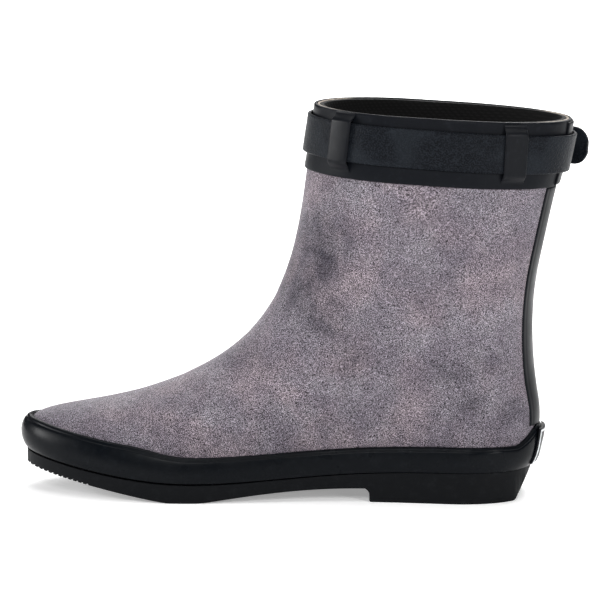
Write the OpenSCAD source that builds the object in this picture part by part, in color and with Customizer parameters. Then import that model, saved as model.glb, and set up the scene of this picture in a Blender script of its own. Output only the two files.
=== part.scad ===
// Ankle deck boot, right foot: a soft upper with rubber foxing and a strapped collar.
// Toe towards -X, inner (medial) side towards -Y, ground at z = 0. Millimetres.

/* [Boot] */
// Height of the front of the rim above the ground
boot_height = 202; // [194:1:210]
// Share of the nominal width, for a narrower or wider foot
width_share = 1; // [0.95:0.01:1.05]
// Height of the rubber band around the foot
foxing_height = 13; // [12:0.5:15]
// Thickness of the rubber band at its thickest
foxing_thick = 3.3; // [2.8:0.1:3.6]

/* [Layers] */
// Thickness of the upper's napped fabric and its foam
upper_thick = 2.4; // [2.2:0.1:2.8]
// Thickness of the fabric lining
lining_thick = 1.2; // [1:0.1:1.4]
// Thickness of the rubber collar
collar_thick = 1.6; // [1.3:0.1:1.8]
// Thickness of the strip up the back seam
strip_thick = 1.4; // [1:0.1:1.5]
// Width of the strip up the back seam
strip_width = 28; // [20:1:30]

/* [Sole] */
// Rise of the outsole under the tip of the toe
toe_spring = 14; // [12:0.5:15]
// Rise of the outsole in front of the heel
waist_rise = 7; // [5:0.2:7]
// Depth of the tread grooves
tread_depth = 2; // [1:0.25:2.5]
// Thickness of the loose footbed
footbed_thick = 4.5; // [3:0.5:5]

/* [Strap] */
// Width of the strap
strap_width = 19.5; // [18:0.5:20]
// Thickness of the strap
strap_thick = 1.8; // [1.6:0.1:1.8]
// Width of each strap loop
loop_width = 12; // [9:0.5:12]
// Thickness of the strap loops and of the keeper
loop_thick = 1.3; // [1:0.1:1.3]
// Diameter of the buckle's wire
wire_d = 3; // [2.6:0.1:3]

/* [Hidden] */

$fn = 48;
gap = 0.1;                  // glued faces stand this far apart
columns = 48;               // sections around a shell
side_shift = -2.4;          // centres the boot between its side faces
z_share = boot_height / 202;

// One row for each level of the boot, from the sole's edge up to the rim:
// [front x, front z, back x, back z, half width, front rounding, back rounding, leg share]
LEVELS = [
    [-140, 21, 115.5, 15.5, 31, 88, 36, 0],
    [-143.5, 27, 119.5, 22, 31, 88, 36, 0],
    [-143.5, 33.5, 121, 30, 32, 90, 38, 0.05],
    [-139, 39, 122, 38, 33, 98, 40, 0.15],
    [-126, 42.5, 122, 46, 34, 104, 42, 0.35],
    [-100, 46.5, 120.5, 54.5, 34, 100, 44, 0.6],
    [-69, 55, 119, 64, 34, 90, 46, 0.85],
    [-39, 70.5, 118, 77, 35, 80, 48, 1],
    [-18, 92, 117.5, 93, 37, 70, 50, 1],
    [-7, 116.5, 119, 113, 39, 62, 54, 1],
    [-1, 141.5, 124, 136, 40, 60, 58, 1],
    [3, 172, 130, 164.5, 40.5, 50, 60, 1],
    [6, 184, 134, 175.5, 38.5, 46, 62, 1],
    [8, 202, 137, 195.5, 37.5, 46, 62, 1]];
collar_level = 11;          // the collar's lower edge
strap_level = 12.13;        // the strap's middle
rim_level = 13;

// One row every 30 mm along the foot from x = -150, at the sole's edge:
// [inner half width, outer half width, height of the seam under the foxing]
STATIONS = [[38, 40, 21.5], [40, 43, 16], [41.5, 45.5, 11.5], [41.5, 46, 8.7], [37, 43.5, 9.6],
    [30.5, 39, 12], [27.5, 35, 14.5], [28.5, 32, 15.8], [30, 31, 16], [30, 30, 15.5]];

// Levels at which the shells have a row of points
ROWS = [0, 0.4, 0.8, 1.3, 1.8, 2.3, 2.8, 3.3, 3.9, 4.5, 5, 5.5, 6, 6.5, 7, 7.5, 8, 8.5, 9,
    9.5, 10, 10.5, 11, 12, 13];

// ---- Curves ----

function mixed(a, b, t) = a + (b - a) * t;
function held(v, low, high) = min(max(v, low), high);
function eased(t) = let (u = held(t, 0, 1)) u * u * (3 - 2 * u);
function unit(v) = v / norm(v);

// Uniform cubic B-spline through the rows of a table, t counted in rows
function spline(table, t) =
    let (n = len(table), u = held(t, 0, n - 1), i = min(floor(u), n - 2), f = u - i,
        a = i == 0 ? 2 * table[0] - table[1] : table[i - 1],
        b = table[i],
        c = table[i + 1],
        d = i == n - 2 ? 2 * table[n - 1] - table[n - 2] : table[i + 2])
    (pow(1 - f, 3) * a + (3 * pow(f, 3) - 6 * pow(f, 2) + 4) * b
        + (3 * f - 3 * pow(f, 3) + 3 * pow(f, 2) + 1) * c + pow(f, 3) * d) / 6;

// A quarter of a superellipse: 0 at t = 0, level at t = 1
function rounded(t, p) = pow(1 - pow(1 - held(t, 0, 1), p), 1 / p);

function station(x) = spline(STATIONS, (x + 150) / 30);
function seam(x) = station(x)[2];

// Point on the upper's outer face: level v, angle a from the toe (0) by the inner side (90)
// and the heel (180) to the outer side (270)
function skin(v, a) =
    let (row = spline(LEVELS, v), t = (1 - cos(a)) / 2, x = mixed(row[0], row[2], t),
        inner = sin(a) >= 0, side = station(x), leg = row[7],
        half = mixed(side[inner ? 0 : 1], row[4], leg) * width_share,
        y = half * rounded((x - row[0]) / row[5], 1.95) * rounded((row[2] - x) / row[6], 2.1),
        swing = -5 * (1 - leg) * pow(held((60 - x) / 200, 0, 1), 1.5),
        sag = side[2] - mixed(seam(row[0]), seam(row[2]), t))
    [x, (inner ? -y : y) + swing + side_shift,
        (mixed(row[1], row[3], t) + (1 - leg) * sag) * mixed(1, z_share, held(v / rim_level, 0, 1))];

// Outward normal of the upper's outer face, level at the sole's edge
function normal(v, a) =
    let (n = unit(cross(skin(v, a + 1) - skin(v, a - 1),
        skin(min(v + 0.05, rim_level), a) - skin(max(v - 0.05, 0), a))))
    unit([n[0], n[1], n[2] * held(v, 0, 1)]);

// Point at a distance outside (or, negative, inside) the upper's outer face
function off(v, a, d) = skin(v, a) + d * normal(v, a);

// Angle on the outer (1) or inner (-1) side at which level v passes x
function angle_at(v, x, side) =
    let (row = spline(LEVELS, v), a = acos(held(1 - 2 * (x - row[0]) / (row[2] - row[0]), -1, 1)))
    side > 0 ? 360 - a : a;

// Angle at which level v is a distance y to the side of the back's middle line
function back_angle(v, y) =
    let (row = spline(LEVELS, v), share = pow(held(abs(y) / row[4], 0, 0.95), 2.1),
        x = row[2] - row[6] * (1 - pow(1 - share, 1 / 2.1)))
    angle_at(v, x, sign(y));

// Level at which the face stands a height h above its own lower edge, by halving
function level_at(a, h, low = 0, high = 5, steps = 12) =
    let (mid = (low + high) / 2)
    steps == 0 ? mid
        : skin(mid, a)[2] - skin(0, a)[2] < h ? level_at(a, h, mid, high, steps - 1)
        : level_at(a, h, low, mid, steps - 1);

// Plan outline of the sole's edge, moved outwards by d
function outline(d, n = 64) =
    [for (i = [0:n - 1])
        let (a = i * 360 / n, p = skin(0, a), t = skin(0, a + 1) - skin(0, a - 1),
            u = unit([t[0], t[1]]))
        [p[0] + d * u[1], p[1] - d * u[0]]];

// A point of the sole's edge moved d towards the foot's middle line, at height z over the seam
function margin_point(a, d, z) =
    let (p = skin(0, a), m = [held(p[0], -100, 88), side_shift - 5 * pow(held((60 - p[0]) / 200, 0, 1), 1.5)],
        u = unit([p[0], p[1]] - m))
    [p[0] - d * u[0], p[1] - d * u[1], seam(p[0] - d * u[0]) + z];

// ---- Solids ----

// Solid through a list of closed sections; a section lists the inner face's points, then the
// outer face's points backwards. Both faces split their quads along the same diagonal.
module loft(sections, joined = false, outer_from = 0) {
    n = len(sections);
    m = len(sections[0]);
    turned = outer_from > 0 ? outer_from : m / 2;
    spans = joined ? n - 1 : n - 2;
    sides = [for (i = [0:spans], k = [0:m - 1])
        let (a = i * m + k, b = i * m + (k + 1) % m, c = ((i + 1) % n) * m + (k + 1) % m,
            d = ((i + 1) % n) * m + k)
        each k < turned ? [[a, c, b], [a, d, c]] : [[a, d, b], [b, d, c]]];
    caps = joined ? [] : [for (k = [0:m / 2 - 2])
        let (p = k, q = k + 1, r = m - 2 - k, s = m - 1 - k, e = (n - 1) * m)
        each [[p, q, r], [p, r, s], [e + p, e + r, e + q], [e + p, e + s, e + r]]];
    polyhedron([for (s = sections) each s], concat(sides, caps), convexity = 6);
}

// Section of a shell at angle a: its levels at one depth, then backwards at the other
function shell_section(levels, a, inside, outside) =
    concat([for (v = levels) off(v, a, inside)],
        [for (i = [len(levels) - 1:-1:0]) off(levels[i], a, outside)]);

function turn(i) = i * 360 / columns;
function rows_between(low, high) = [for (v = ROWS) if (v >= low && v <= high) v];

// Slab between two heights over the seam's line, with the plan of its children
module slab(low, high, x0 = -150, x1 = 130) {
    xs = [for (x = [x0:5:x1]) x];
    intersection() {
        rotate([90, 0, 0])
            linear_extrude(140, center = true)
                polygon(concat([for (x = xs) [x, seam(x) + low]],
                    [for (i = [len(xs) - 1:-1:0]) [xs[i], seam(xs[i]) + high]]));
        translate([0, 0, -5])
            linear_extrude(80)
                children();
    }
}

// Places its children in the frame with the given origin and axes
module placed(frame) {
    multmatrix([for (r = [0:2]) [frame[1][r], frame[2][r], frame[3][r], frame[0][r]]])
        children();
}

// ---- Sole ----

breast_x = 38;
heel_end_x = 112;
ball_x = [-62, -50];        // stretch that stands on the ground under the ball of the foot

// Slope from 0 to 1 with a soft start
function ramp(t) = (sqrt(t * t + 0.0025) - 0.05) / 0.951;

// Height of the underside at x, without the heel block
function tread_z(x) =
    x < ball_x[0] ? toe_spring * ramp((ball_x[0] - x) / 83)
        : x < ball_x[1] ? 0
        : waist_rise * (1 - pow(1 - ramp(held((x - ball_x[1]) / 87, 0, 1)), 2));
function tread_line(lift) =
    [for (x = [-150:4:ball_x[0]]) [x, tread_z(x) + lift], for (x = [ball_x[1]:3:37]) [x, tread_z(x) + lift]];
margin_thick = 1.8;
margin_width = 15;

module stadium(x0, x1, r, y = side_shift) {
    translate([x0 + r, y]) circle(r);
    translate([x1 - r, y]) circle(r);
    translate([x0 + r, y - r]) square([x1 - x0 - 2 * r, 2 * r]);
}

// Cleated area of the sole's plan, with the grooves between the cleats
module groove_plan() {
    for (x = [-141:6:-117])
        translate([x, -60]) square([2.4, 120]);
    for (x = [-108:11:-9])
        polygon([[x, -30 + side_shift], [x + 3, -30 + side_shift], [x + 9, -5], [x + 3, 30],
            [x, 30], [x + 6, -5]]);
    for (x = [49:11:104])
        translate([x, side_shift - 22]) square([3, 44]);
}

module outsole() {
    top = [for (x = [130:-5:-150]) [x, seam(x)]];
    color([0.07, 0.075, 0.085])
        difference() {
            intersection() {
                rotate([90, 0, 0])
                    linear_extrude(140, center = true)
                        polygon(concat(tread_line(0),
                            [[breast_x, 0], [heel_end_x, 0], [heel_end_x + 12, 26]], top));
                translate([0, 0, -5])
                    linear_extrude(60)
                        polygon(outline(foxing_thick));
            }
            intersection() {
                translate([0, 0, -5])
                    linear_extrude(40)
                        groove_plan();
                rotate([90, 0, 0])
                    linear_extrude(140, center = true)
                        polygon(concat([[-160, -2], [-160, 30]], tread_line(tread_depth),
                            [[breast_x, tread_depth], [130, tread_depth], [130, -2]]));
            }
            translate([0, 0, 4])
                linear_extrude(20)
                    stadium(50, 104, 18);
        }
}

module heel_filler() {
    color([0.55, 0.5, 0.42])
        translate([0, 0, 4 + gap])
            linear_extrude(10.8)
                stadium(50 + gap, 104 - gap, 18 - gap);
}

module shank() {
    color([0.6, 0.62, 0.65])
        slab(gap, margin_thick - 0.3)
            stadium(-26, 80, 9);
}

module forepart_filler() {
    color([0.62, 0.5, 0.36])
        slab(gap, margin_thick, -150, -30)
            polygon([for (i = [0:47])
                let (p = margin_point(i * 7.5, margin_width + 1, 0)) [p[0], p[1]]]);
}

module insole_board() {
    color([0.5, 0.42, 0.33])
        slab(margin_thick + gap, margin_thick + 2)
            polygon(outline(-4));
}

module footbed() {
    low = margin_thick + 2 + gap;
    color([0.09, 0.09, 0.1])
        slab(low, low + footbed_thick)
            polygon(outline(-4.2));
}

// ---- Upper and its layers ----

puff_rows = rows_between(0.8, 3.9);
puff_reach = 7;             // columns each side of the toe
counter_rows = rows_between(0.8, 5);
counter_reach = 9;          // columns each side of the heel
stiffener = 0.9;            // depth left in the upper for the toe puff and the heel counter

// Whether a stiffener lies inside the upper at row v of column i
function stiffened(v, i) =
    let (toe = min(i, columns - i), heel = abs(i - columns / 2))
    (toe <= puff_reach && v >= 0.8 && v <= 3.9) || (heel <= counter_reach && v >= 0.8 && v <= 5);

module upper() {
    inner_rows = rows_between(0.4, rim_level);
    top = rim_level - 0.07;
    color([0.48, 0.46, 0.48])
        loft([for (i = [0:columns - 1])
            let (a = turn(i))
            concat([margin_point(a, margin_width, margin_thick), margin_point(a, 4, margin_thick)],
                [for (v = inner_rows)
                    off(min(v, top), a, stiffened(v, i) ? stiffener - upper_thick : -upper_thick)],
                [for (k = [len(ROWS) - 1:-1:0]) off(min(ROWS[k], top), a, 0)],
                [margin_point(a, 2, gap), margin_point(a, margin_width, gap)])],
            joined = true, outer_from = 2 + len(inner_rows));
}

module lining() {
    levels = rows_between(0.4, rim_level);
    color([0.06, 0.06, 0.065])
        loft([for (i = [0:columns - 1])
            shell_section(levels, turn(i), -upper_thick - gap - lining_thick, -upper_thick - gap)],
            joined = true);
}

module toe_puff() {
    color([0.8, 0.78, 0.7])
        loft([for (i = [-puff_reach:puff_reach])
            shell_section(puff_rows, turn(i), -upper_thick, stiffener - upper_thick - gap)]);
}

module heel_counter() {
    middle = columns / 2;
    color([0.8, 0.78, 0.7])
        loft([for (i = [middle - counter_reach:middle + counter_reach])
            shell_section(counter_rows, turn(i), -upper_thick, stiffener - upper_thick - gap)]);
}

module topline_tape() {
    color([0.78, 0.76, 0.72])
        loft([for (i = [0:columns - 1])
            shell_section([12.94, rim_level], turn(i), -upper_thick, 0)],
            joined = true);
}

// ---- Rubber and strips outside the upper ----

// Height of the foxing at angle a: it rises behind the heel, under the label
function foxing_rise(a) =
    let (x = skin(0, a)[0])
    foxing_height + 3.2 * eased((-52 - x) / 34) + 9 * pow(held((x - 107) / 8, 0, 1), 1.5);

// Thickness of the foxing at a share t of its height: full below, thinner at a rounded lip
function foxing_at(t) = foxing_thick - 0.5 * t * t - 0.9 * pow(held((t - 0.88) / 0.12, 0, 1), 2);

module foxing_band() {
    shares = [0, 0.12, 0.26, 0.4, 0.54, 0.68, 0.8, 0.88, 0.94, 1];
    color([0.07, 0.075, 0.085])
        loft([for (i = [0:columns - 1])
            let (a = turn(i), top = level_at(a, foxing_rise(a)), lift = [0, 0, gap])
            concat([for (t = shares) off(top * t, a, gap) + lift],
                [for (k = [len(shares) - 1:-1:0]) off(top * shares[k], a, foxing_at(shares[k])) + lift])],
            joined = true);
}

module collar_band() {
    color([0.06, 0.06, 0.065])
        loft([for (i = [0:columns - 1])
            shell_section([collar_level, 11.5, 12, 12.5, rim_level], turn(i), gap, collar_thick)],
            joined = true);
}

// Strip of the given half width up the back's middle line
module back_patch(levels, half, inside, outside) {
    loft([for (y = [-half:half / 5:half])
        concat([for (v = levels) off(v, back_angle(v, y), inside)],
            [for (i = [len(levels) - 1:-1:0]) off(levels[i], back_angle(levels[i], y), outside)])]);
}

module collar_back_strip() {
    color([0.05, 0.05, 0.055])
        back_patch([collar_level + 0.05, 11.5, 12, 12.5, 12.95], 9, collar_thick + gap, collar_thick + 1.1);
}

module back_strip() {
    start = level_at(180, foxing_rise(180)) + 0.03;
    color([0.05, 0.05, 0.055])
        back_patch(concat([start], rows_between(3.3, 10.5), [collar_level - 0.02]),
            strip_width / 2, gap, strip_thick);
}

module heel_label() {
    low = 0.35;
    high = level_at(180, foxing_rise(180)) - 0.15;
    color([0.12, 0.12, 0.13])
        back_patch([for (k = [0:4]) mixed(low, high, k / 4)], 9.5, foxing_thick + 0.2, foxing_thick + 1.4);
}

// ---- Strap, loops, buckle and keeper ----

// Frame [origin, along the strap towards +X, across it upwards, outwards] on the collar's
// face at x, on the outer (1) or inner (-1) side
function collar_frame(x, side) =
    let (a = angle_at(strap_level, x, side),
        along = unit(skin(strap_level, a - side) - skin(strap_level, a + side)),
        up = unit(skin(strap_level + 0.3, a) - skin(strap_level - 0.3, a)),
        out = side > 0 ? unit(cross(up, along)) : unit(cross(along, up)),
        across = side > 0 ? cross(along, out) : cross(out, along))
    [off(strap_level, a, collar_thick), along, across, out];

// A point n outside the collar at x on the outer side
function outer_point(x, n) = let (f = collar_frame(x, 1)) f[0] + n * f[3];

half_strap = strap_thick / 2;
wire_r = wire_d / 2;
heel_bar_x = 80;
front_bar_x = 58;
buckle_length = 22;
keeper_x = 97;
bar_lift = 5.2;             // heel bar's centre above the collar
HEEL_BAR = outer_point(heel_bar_x, bar_lift);
BAR_FRAME = collar_frame(heel_bar_x, 1);
buckle_along = unit(HEEL_BAR - outer_point(front_bar_x, bar_lift));
buckle_out = unit(cross(BAR_FRAME[2], buckle_along));
buckle_across = cross(buckle_along, buckle_out);
BUCKLE = [HEEL_BAR, buckle_along, buckle_across, buckle_out];
fold_r = wire_r + gap + half_strap;

// Strap stations: [centre, outward direction, across direction]
function surface_station(a, n) =
    let (along = unit(skin(strap_level, a + 1) - skin(strap_level, a - 1)),
        out = normal(strap_level, a))
    [off(strap_level, a, collar_thick + n), out, unit(cross(out, along))];
function outer_station(x, n) = surface_station(angle_at(strap_level, x, 1), n);

// Lift of the strap's middle off the collar, at x on the outer side: [x, lift]
BILLET = [[46, 1.4], [52, 1.5], [57, 1.9], [62, 2.6], [68, 6.2], [74, 9.4], [80, 9.7], [85, 8.9],
    [89, 7.1], [93, 6.6], [98, 6.6], [103, 6.3], [107, 4.6], [112, 3.7]];
FLAP = [[104, 4.65], [98, 4.65], [92, 4.65], [88, 5], [84, 6.7], [80, bar_lift + fold_r]];
MAIN = [[84, 2.7], [92, 2.75], [102, 2.75], [109, 2.1], [116, 1.4]];

function fold_station(t) =
    let (radial = -cos(t) * BUCKLE[1] + sin(t) * BUCKLE[3])
    [HEEL_BAR + fold_r * radial, -radial, BUCKLE[2]];

// Lift around the back, the inner side and the front, at angle a
function body_lift(a) =
    1.3 + 1.2 * exp(-pow((a - 180) / 20, 2)) + 0.6 * exp(-pow(a / 26, 2));

module strap() {
    last = BILLET[len(BILLET) - 1];
    end = outer_station(last[0], last[1]);
    before = outer_station(last[0] - 2, last[1]);
    dir = unit(end[0] - before[0]);
    flap = [for (k = [0:0.5:len(FLAP) - 1])
        let (p = spline(FLAP, k), s = outer_station(p[0], p[1])) [s[0], -s[1], s[2]]];
    fold = [for (t = [60:-30:-90]) fold_station(t)];
    main = [for (k = [0:0.5:4]) let (p = spline(MAIN, k)) outer_station(p[0], p[1])];
    body = [for (a = [214:-7:-60]) surface_station(a, body_lift(a))];
    billet = [for (k = [0:0.5:len(BILLET) - 1]) let (p = spline(BILLET, k)) outer_station(p[0], p[1])];
    free = [for (d = [6:6:24]) [end[0] + d * dir, end[1], end[2]]];
    tip = [for (t = [0:15:75])
        [end[0] + (26 + 9 * sin(t)) * dir, end[1], end[2], sqrt(1 - 0.95 * pow(sin(t), 2.5))]];
    route = concat(flap, fold, main, body, billet, free, tip);
    color([0.07, 0.07, 0.08])
        difference() {
            loft([for (s = route)
                let (half = strap_width / 2 * (len(s) > 3 ? s[3] : 1))
                [s[0] + half_strap * s[1] - half * s[2], s[0] + half_strap * s[1] + half * s[2],
                    s[0] - half_strap * s[1] + half * s[2], s[0] - half_strap * s[1] - half * s[2]]]);
            placed(BUCKLE) {
                translate([-14, -1.8, -1])
                    cube([12.7, 3.6, 7]);
                translate([-4.5, -1.8, -6])
                    cube([12.5, 3.6, 9.45]);
            }
            for (d = [-2, 10])
                translate(end[0] + d * dir)
                    placed([[0, 0, 0], end[1], end[2], cross(end[1], end[2])])
                        rotate([0, 90, 0])
                            cylinder(h = 3, r = 1.5, center = true);
        }
}

// Strip that arches over the strap, in the plane across it: x outwards, y along the strip
function arch_curve(d, lift) =
    [for (w = [-15:1:15])
        [lift * eased((14.4 - abs(w)) / 4.6) + d, w]];

module strap_loop(x, side, lift) {
    f = collar_frame(x, side);
    inside = arch_curve(3 * gap, lift);
    outside = arch_curve(3 * gap + loop_thick, lift);
    color([0.06, 0.06, 0.065])
        placed([f[0], f[3], f[2], cross(f[3], f[2])])
            linear_extrude(loop_width, center = true)
                polygon(concat(inside, [for (i = [len(outside) - 1:-1:0]) outside[i]]));
}

front_loop_x = 25;
rear_loop_x = 110;
loop_lift = 2.5;

module loop_front_medial() {
    strap_loop(front_loop_x, -1, loop_lift);
}

module loop_rear_medial() {
    strap_loop(rear_loop_x, -1, loop_lift);
}

module loop_front_lateral() {
    strap_loop(front_loop_x, 1, loop_lift);
}

module loop_rear_lateral() {
    strap_loop(rear_loop_x + 4, 1, loop_lift + 2.9);
}

rail_half = 12.7;
corner_r = 2.2;

// Rectangular wire frame, in the buckle's own axes, with the heel bar on the Y axis
module buckle_frame() {
    color([0.75, 0.76, 0.78])
        placed(BUCKLE) {
            for (x = [0, -buckle_length])
                translate([x, 0, 0])
                    rotate([90, 0, 0])
                        cylinder(h = 2 * (rail_half - corner_r), r = wire_r, center = true);
            for (y = [-rail_half, rail_half])
                translate([-buckle_length / 2, y, 0])
                    rotate([0, 90, 0])
                        cylinder(h = buckle_length - 2 * corner_r, r = wire_r, center = true);
            for (x = [0, 1], y = [0, 1])
                translate([x == 1 ? -corner_r : corner_r - buckle_length,
                    (y == 1 ? 1 : -1) * (rail_half - corner_r), 0])
                    rotate([0, 0, x == 1 ? (y == 1 ? 0 : 270) : (y == 1 ? 90 : 180)])
                        rotate_extrude(angle = 90)
                            translate([corner_r, 0])
                                circle(wire_r);
        }
}

prong_width = 2.4;
prong_thick = 1.3;

module buckle_prong() {
    inside = wire_r + gap;
    color([0.72, 0.73, 0.75])
        placed(BUCKLE)
            rotate([90, 0, 0]) {
                difference() {
                    cylinder(h = prong_width, r = inside + prong_thick, center = true);
                    cylinder(h = 2 * prong_width, r = inside, center = true);
                }
                linear_extrude(prong_width - 0.02, center = true)
                    polygon([[-0.8, inside + 0.3], [-2.6, inside], [-buckle_length, inside],
                        [-buckle_length - 2.4, wire_r - 0.5], [-buckle_length - 2.4, wire_r + 0.5],
                        [-buckle_length, inside + prong_thick], [-0.8, inside + prong_thick - 0.25]]);
            }
}

module strap_keeper() {
    f = collar_frame(keeper_x, 1);
    low = 0.15;
    high = 8.05;
    wide = strap_width + 0.8;
    color([0.07, 0.07, 0.08])
        placed([f[0], f[3], f[2], cross(f[3], f[2])])
            linear_extrude(6, center = true)
                difference() {
                    translate([low, -wide / 2 - loop_thick])
                        square([high - low + loop_thick, wide + 2 * loop_thick]);
                    translate([low + loop_thick, -wide / 2])
                        square([high - low - loop_thick, wide]);
                }
}

outsole();
heel_filler();
shank();
forepart_filler();
insole_board();
footbed();
upper();
lining();
toe_puff();
heel_counter();
topline_tape();
foxing_band();
collar_band();
collar_back_strip();
back_strip();
heel_label();
loop_front_medial();
loop_rear_medial();
loop_front_lateral();
loop_rear_lateral();
strap();
buckle_frame();
buckle_prong();
strap_keeper();
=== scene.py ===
"""Looks of an ankle deck boot (right foot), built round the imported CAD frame.

Lengths in the shape functions are millimetres in the CAD frame: toe towards -X, inner side
towards -Y, ground at z = 0. Meshes are scaled to metres as they are made.
"""
import math

import bmesh
import bpy
import numpy as np
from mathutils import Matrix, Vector


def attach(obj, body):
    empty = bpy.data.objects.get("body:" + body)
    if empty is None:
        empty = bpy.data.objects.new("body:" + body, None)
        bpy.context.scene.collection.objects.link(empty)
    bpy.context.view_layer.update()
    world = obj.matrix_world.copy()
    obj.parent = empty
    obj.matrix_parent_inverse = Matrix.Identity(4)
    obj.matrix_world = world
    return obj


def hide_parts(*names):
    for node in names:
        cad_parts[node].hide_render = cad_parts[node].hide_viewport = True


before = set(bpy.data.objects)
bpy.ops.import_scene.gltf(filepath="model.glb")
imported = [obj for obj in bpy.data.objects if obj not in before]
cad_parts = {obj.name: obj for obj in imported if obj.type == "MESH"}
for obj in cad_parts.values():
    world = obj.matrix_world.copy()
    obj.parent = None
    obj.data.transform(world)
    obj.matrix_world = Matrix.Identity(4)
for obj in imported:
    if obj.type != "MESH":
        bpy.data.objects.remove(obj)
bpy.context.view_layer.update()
MM = 0.001

# ---------------------------------------------------------------- the boot's surface

# One row per level from the sole's edge to the rim, as in the CAD model:
# front x, front z, back x, back z, half width, front rounding, back rounding, leg share
LEVELS = np.array([
    [-140, 21, 115.5, 15.5, 31, 88, 36, 0],
    [-143.5, 27, 119.5, 22, 31, 88, 36, 0],
    [-143.5, 33.5, 121, 30, 32, 90, 38, 0.05],
    [-139, 39, 122, 38, 33, 98, 40, 0.15],
    [-126, 42.5, 122, 46, 34, 104, 42, 0.35],
    [-100, 46.5, 120.5, 54.5, 34, 100, 44, 0.6],
    [-69, 55, 119, 64, 34, 90, 46, 0.85],
    [-39, 70.5, 118, 77, 35, 80, 48, 1],
    [-18, 92, 117.5, 93, 37, 70, 50, 1],
    [-7, 116.5, 119, 113, 39, 62, 54, 1],
    [-1, 141.5, 124, 136, 40, 60, 58, 1],
    [3, 172, 130, 164.5, 40.5, 50, 60, 1],
    [6, 184, 134, 175.5, 38.5, 46, 62, 1],
    [8, 202, 137, 195.5, 37.5, 46, 62, 1]])
COLLAR, STRAP, RIM = 11, 12.13, 13

# One row every 30 mm from x = -150: inner and outer half width, height of the seam
STATIONS = np.array([
    [38, 40, 21.5], [40, 43, 16], [41.5, 45.5, 11.5], [41.5, 46, 8.7], [37, 43.5, 9.6],
    [30.5, 39, 12], [27.5, 35, 14.5], [28.5, 32, 15.8], [30, 31, 16], [30, 30, 15.5]])
SIDE_SHIFT = -2.4

UPPER_THICK = 2.4
LINING_THICK = 1.2
COLLAR_THICK = 1.6
FOXING_THICK = 3.3
FOXING_HEIGHT = 13
FOXING_TOE_EXTRA, FOXING_HEEL_EXTRA = 3.2, 9

# Outsole: x at which the tread leaves the ground towards the toe and the waist, and its rises
BALL_X = (-62, -50)
TOE_SPRING, WAIST_RISE = 14, 7
BREAST_X, HEEL_END_X, TREAD_DEPTH = 38, 112, 2

# Points closer than this, in metres, are welded; edges shorter than the second are dropped
WELD, TINY_EDGE = 2e-6, 1e-6


def spline(table, t):
    """Uniform cubic B-spline through the rows of a table, t counted in rows."""
    table = np.asarray(table, float)
    ends = np.vstack([2 * table[0] - table[1], table, 2 * table[-1] - table[-2]])
    t = np.clip(np.asarray(t, float), 0, len(table) - 1)
    i = np.minimum(t.astype(int), len(table) - 2)
    f = (t - i)[..., None]
    a, b, c, d = (ends[i + k] for k in range(4))
    return ((1 - f) ** 3 * a + (3 * f ** 3 - 6 * f ** 2 + 4) * b
            + (3 * f - 3 * f ** 3 + 3 * f ** 2 + 1) * c + f ** 3 * d) / 6


def rounded(t, p):
    """A quarter of a superellipse: 0 at t = 0, level at t = 1."""
    return (1 - (1 - np.clip(t, 0, 1)) ** p) ** (1 / p)


def smooth(t):
    """Soft step from 0 to 1."""
    t = np.clip(t, 0, 1)
    return t * t * (3 - 2 * t)


def seam(x):
    """Height of the seam between the upper and the sole at x."""
    return spline(STATIONS, (np.asarray(x) + 150) / 30)[..., 2]


def swing(x):
    """How far the foot's middle line leans to the inner side at x."""
    return -5 * np.clip((60 - x) / 200, 0, 1) ** 1.5


def skin(v, a):
    """Points of the upper's outer face at level v and angle a (toe 0, inner side 90)."""
    v, a = np.broadcast_arrays(np.asarray(v, float), np.asarray(a, float))
    row = spline(LEVELS, v)
    r = np.radians(a)
    t = (1 - np.cos(r)) / 2
    x = row[..., 0] + (row[..., 2] - row[..., 0]) * t
    side = spline(STATIONS, (x + 150) / 30)
    leg = row[..., 7]
    inner = np.sin(r) >= 0
    half = np.where(inner, side[..., 0], side[..., 1]) * (1 - leg) + row[..., 4] * leg
    y = half * rounded((x - row[..., 0]) / row[..., 5], 1.95)
    y = y * rounded((row[..., 2] - x) / row[..., 6], 2.1)
    ends = seam(row[..., 0]) * (1 - t) + seam(row[..., 2]) * t
    z = row[..., 1] * (1 - t) + row[..., 3] * t + (1 - leg) * (side[..., 2] - ends)
    return np.stack([x, np.where(inner, -y, y) + swing(x) * (1 - leg) + SIDE_SHIFT, z], -1)


def unit(v):
    return v / np.linalg.norm(v, axis=-1, keepdims=True)


def normal(v, a):
    """Outward normal of the upper's outer face, level at the sole's edge."""
    n = unit(np.cross(skin(v, a + 1) - skin(v, a - 1),
                      skin(np.minimum(v + 0.05, RIM), a) - skin(np.maximum(v - 0.05, 0), a)))
    n[..., 2] *= np.clip(v, 0, 1)
    return unit(n)


def off(v, a, d):
    """Points a distance d outside the upper's outer face."""
    v, a, d = np.broadcast_arrays(*(np.asarray(q, float) for q in (v, a, d)))
    return skin(v, a) + d[..., None] * normal(v, a)


def angle_at(v, x, side):
    """Angle at which level v passes x, on the outer (1) or inner (-1) side."""
    row = spline(LEVELS, v)
    share = (x - row[..., 0]) / (row[..., 2] - row[..., 0])
    a = np.degrees(np.arccos(np.clip(1 - 2 * share, -1, 1)))
    return np.where(np.asarray(side) > 0, 360 - a, a)


def back_angle(v, y):
    """Angle at which level v is y to the side of the back's middle line."""
    row = spline(LEVELS, v)
    share = np.clip(np.abs(y) / row[..., 4], 0, 0.95) ** 2.1
    return angle_at(v, row[..., 2] - row[..., 6] * (1 - (1 - share) ** (1 / 2.1)), np.sign(y))


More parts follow.
